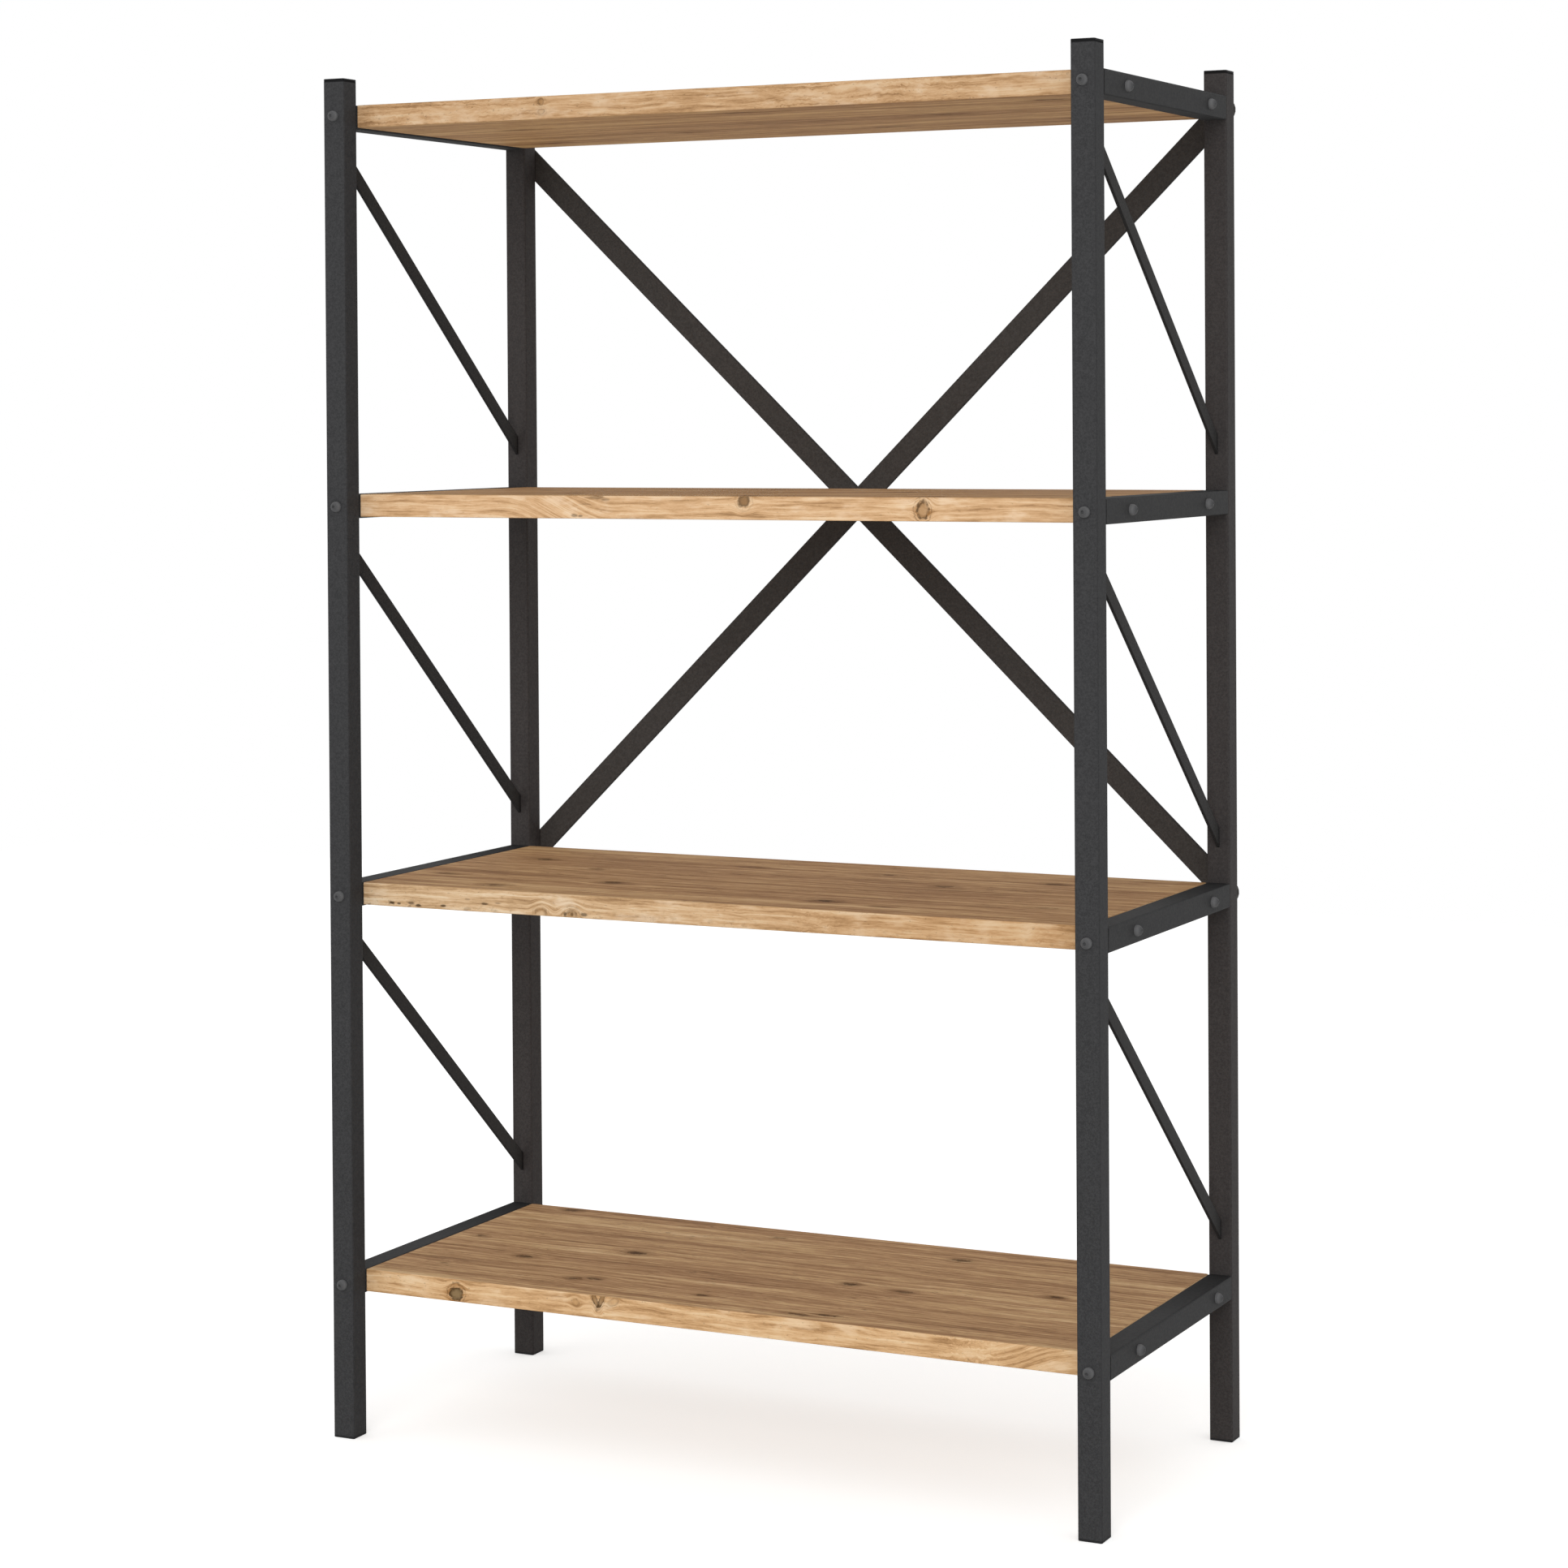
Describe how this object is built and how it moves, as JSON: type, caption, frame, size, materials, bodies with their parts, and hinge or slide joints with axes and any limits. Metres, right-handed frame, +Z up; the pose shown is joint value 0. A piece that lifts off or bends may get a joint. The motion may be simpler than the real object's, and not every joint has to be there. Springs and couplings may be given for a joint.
{
  "type": "shelving unit",
  "caption": "Open shelving rack with square-tube side frames, plank shelves, slanting side bars and a crossed back brace.",
  "frame": {"origin": "under the middle of the whole part's box, on the floor plane; the posts' own middle plane lies 2.15 mm in front of it, because the crossed bars stand on the back", "axes": "+X to the right along the boards, +Y from front to back, +Z up"},
  "size_m": [0.8736, 0.4158, 1.421],
  "materials": {
    "frame_paint": "charcoal textured powder coat",
    "board_wood": "knotty softwood planking, tan, matt varnish",
    "cap_plastic": "black moulded plastic",
    "bolt_metal": "dark satin metal"
  },
  "bodies": {
    "root": {"post_front_left": "frame_paint", "top_cap_front_left": "cap_plastic", "foot_cap_front_left": "cap_plastic", "post_front_right": "frame_paint", "top_cap_front_right": "cap_plastic", "foot_cap_front_right": "cap_plastic", "post_back_left": "frame_paint", "top_cap_back_left": "cap_plastic", "foot_cap_back_left": "cap_plastic", "post_back_right": "frame_paint", "top_cap_back_right": "cap_plastic", "foot_cap_back_right": "cap_plastic", "rail_left_1": "frame_paint", "rail_left_2": "frame_paint", "rail_left_3": "frame_paint", "rail_left_4": "frame_paint", "side_bar_left_1": "frame_paint", "side_bar_left_2": "frame_paint", "side_bar_left_3": "frame_paint", "rail_right_1": "frame_paint", "rail_right_2": "frame_paint", "rail_right_3": "frame_paint", "rail_right_4": "frame_paint", "side_bar_right_1": "frame_paint", "side_bar_right_2": "frame_paint", "side_bar_right_3": "frame_paint", "shelf_board_1": "board_wood", "shelf_board_2": "board_wood", "shelf_board_3": "board_wood", "shelf_board_4": "board_wood", "cross_bar_rising": "frame_paint", "cross_bar_falling": "frame_paint", "rail_bolt_left_1": "bolt_metal", "board_bolt_front_left_1": "bolt_metal", "board_bolt_back_left_1": "bolt_metal", "rail_bolt_left_2": "bolt_metal", "board_bolt_front_left_2": "bolt_metal", "board_bolt_back_left_2": "bolt_metal", "rail_bolt_left_3": "bolt_metal", "board_bolt_front_left_3": "bolt_metal", "board_bolt_back_left_3": "bolt_metal", "rail_bolt_left_4": "bolt_metal", "board_bolt_front_left_4": "bolt_metal", "board_bolt_back_left_4": "bolt_metal", "rail_bolt_right_1": "bolt_metal", "board_bolt_front_right_1": "bolt_metal", "board_bolt_back_right_1": "bolt_metal", "rail_bolt_right_2": "bolt_metal", "board_bolt_front_right_2": "bolt_metal", "board_bolt_back_right_2": "bolt_metal", "rail_bolt_right_3": "bolt_metal", "board_bolt_front_right_3": "bolt_metal", "board_bolt_back_right_3": "bolt_metal", "rail_bolt_right_4": "bolt_metal", "board_bolt_front_right_4": "bolt_metal", "board_bolt_back_right_4": "bolt_metal", "cross_bolt_low_left": "bolt_metal", "cross_bolt_low_right": "bolt_metal", "cross_bolt_high_left": "bolt_metal", "cross_bolt_high_right": "bolt_metal"}
  },
  "joints": []
}
